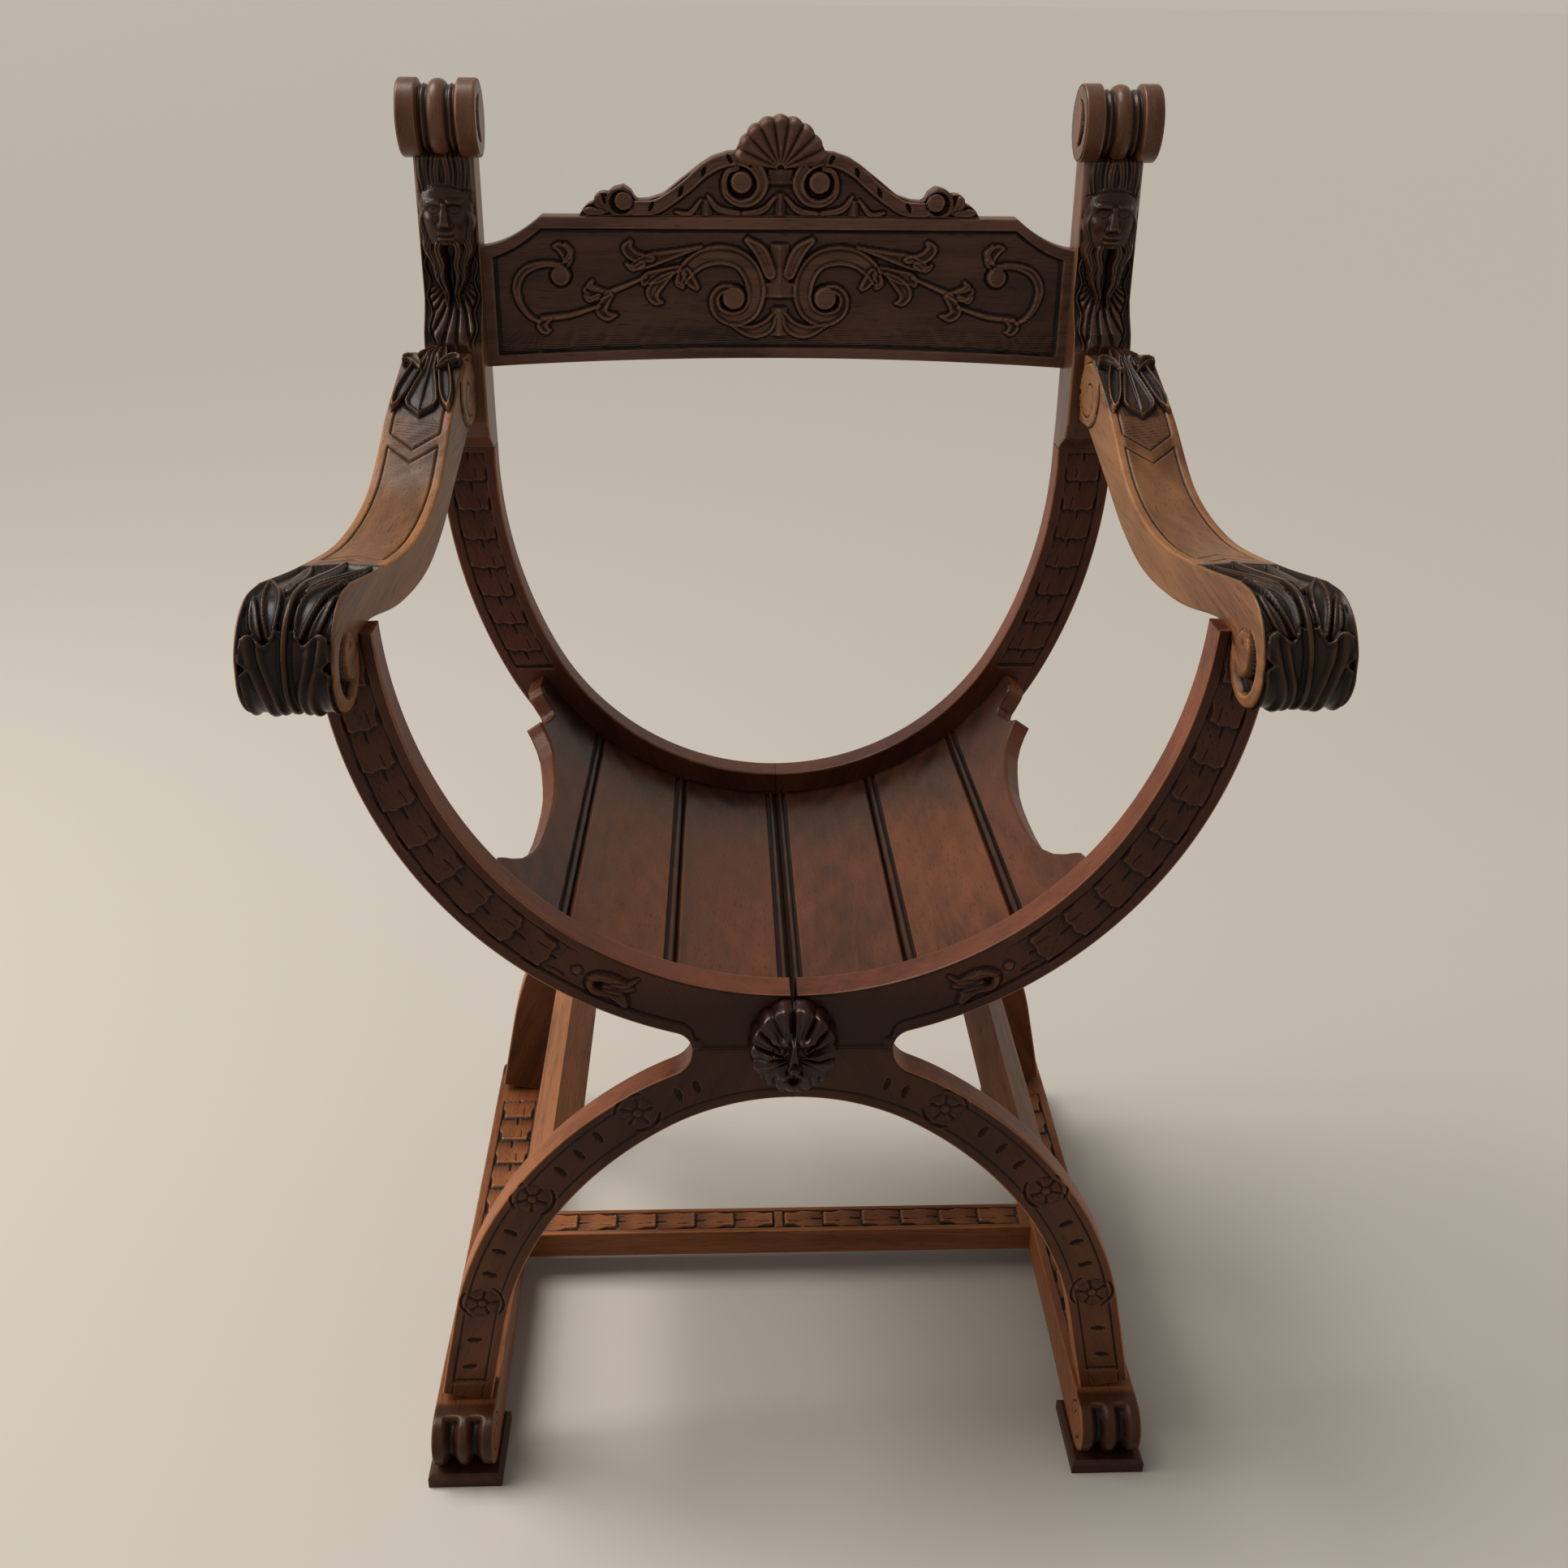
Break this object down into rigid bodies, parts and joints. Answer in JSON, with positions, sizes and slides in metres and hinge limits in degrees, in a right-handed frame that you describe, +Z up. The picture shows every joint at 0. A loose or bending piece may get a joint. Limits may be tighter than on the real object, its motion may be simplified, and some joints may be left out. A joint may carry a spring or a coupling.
{
  "type": "x-frame armchair",
  "caption": "Carved walnut armchair on two flat frames of curved arcs, with a U-shaped board seat, scrolled arms, carved back rail with shell crest, and scrolled runners.",
  "frame": {"origin": "middle of the chair's footprint box, on the floor", "axes": "+Z up; the chair's front faces -Y; +X is on the right of a viewer who looks at the front"},
  "size_m": [0.706, 0.5452, 1.05],
  "materials": {
    "frame_walnut": "dark reddish-brown walnut, waxed to a soft gloss, incised and carved in low relief",
    "arm_walnut": "walnut worn to a lighter golden brown, carved leaves near black in the hollows",
    "back_walnut": "dark walnut, carved in relief, edges rubbed brown",
    "seat_walnut": "walnut boards, brown to orange-brown, waxed, with beaded joints",
    "base_walnut": "dark walnut, worn at the edges, carved scales on the upper faces",
    "dark_carving": "near-black glossy carved walnut",
    "beech_dowel": "plain turned beech, hidden in the joints"
  },
  "bodies": {
    "root": {"arm_front_dowels": "beech_dowel", "arm_left": "arm_walnut", "arm_rear_dowels": "beech_dowel", "arm_right": "arm_walnut", "back_crest": "back_walnut", "back_post_left": "back_walnut", "back_post_right": "back_walnut", "back_rail": "back_walnut", "crest_dowels": "beech_dowel", "cross_stretcher": "base_walnut", "front_hub_dowels": "beech_dowel", "front_lower_arc_left": "frame_walnut", "front_lower_arc_right": "frame_walnut", "front_upper_arc_left": "frame_walnut", "front_upper_arc_right": "frame_walnut", "leg_dowels": "beech_dowel", "lion_mask": "dark_carving", "mask_dowel": "beech_dowel", "plinth_dowels": "beech_dowel", "plinth_front_left": "base_walnut", "plinth_front_right": "base_walnut", "plinth_rear_left": "base_walnut", "plinth_rear_right": "base_walnut", "rear_hub_dowels": "beech_dowel", "rear_lower_arc_left": "frame_walnut", "rear_lower_arc_right": "frame_walnut", "rear_upper_arc_left": "frame_walnut", "rear_upper_arc_right": "frame_walnut", "runner_left": "base_walnut", "runner_right": "base_walnut", "seat_board_inner_left": "seat_walnut", "seat_board_inner_right": "seat_walnut", "seat_board_middle_left": "seat_walnut", "seat_board_middle_right": "seat_walnut", "seat_board_outer_left": "seat_walnut", "seat_board_outer_right": "seat_walnut", "under_seat_rail_left": "base_walnut", "under_seat_rail_right": "base_walnut"}
  },
  "joints": []
}
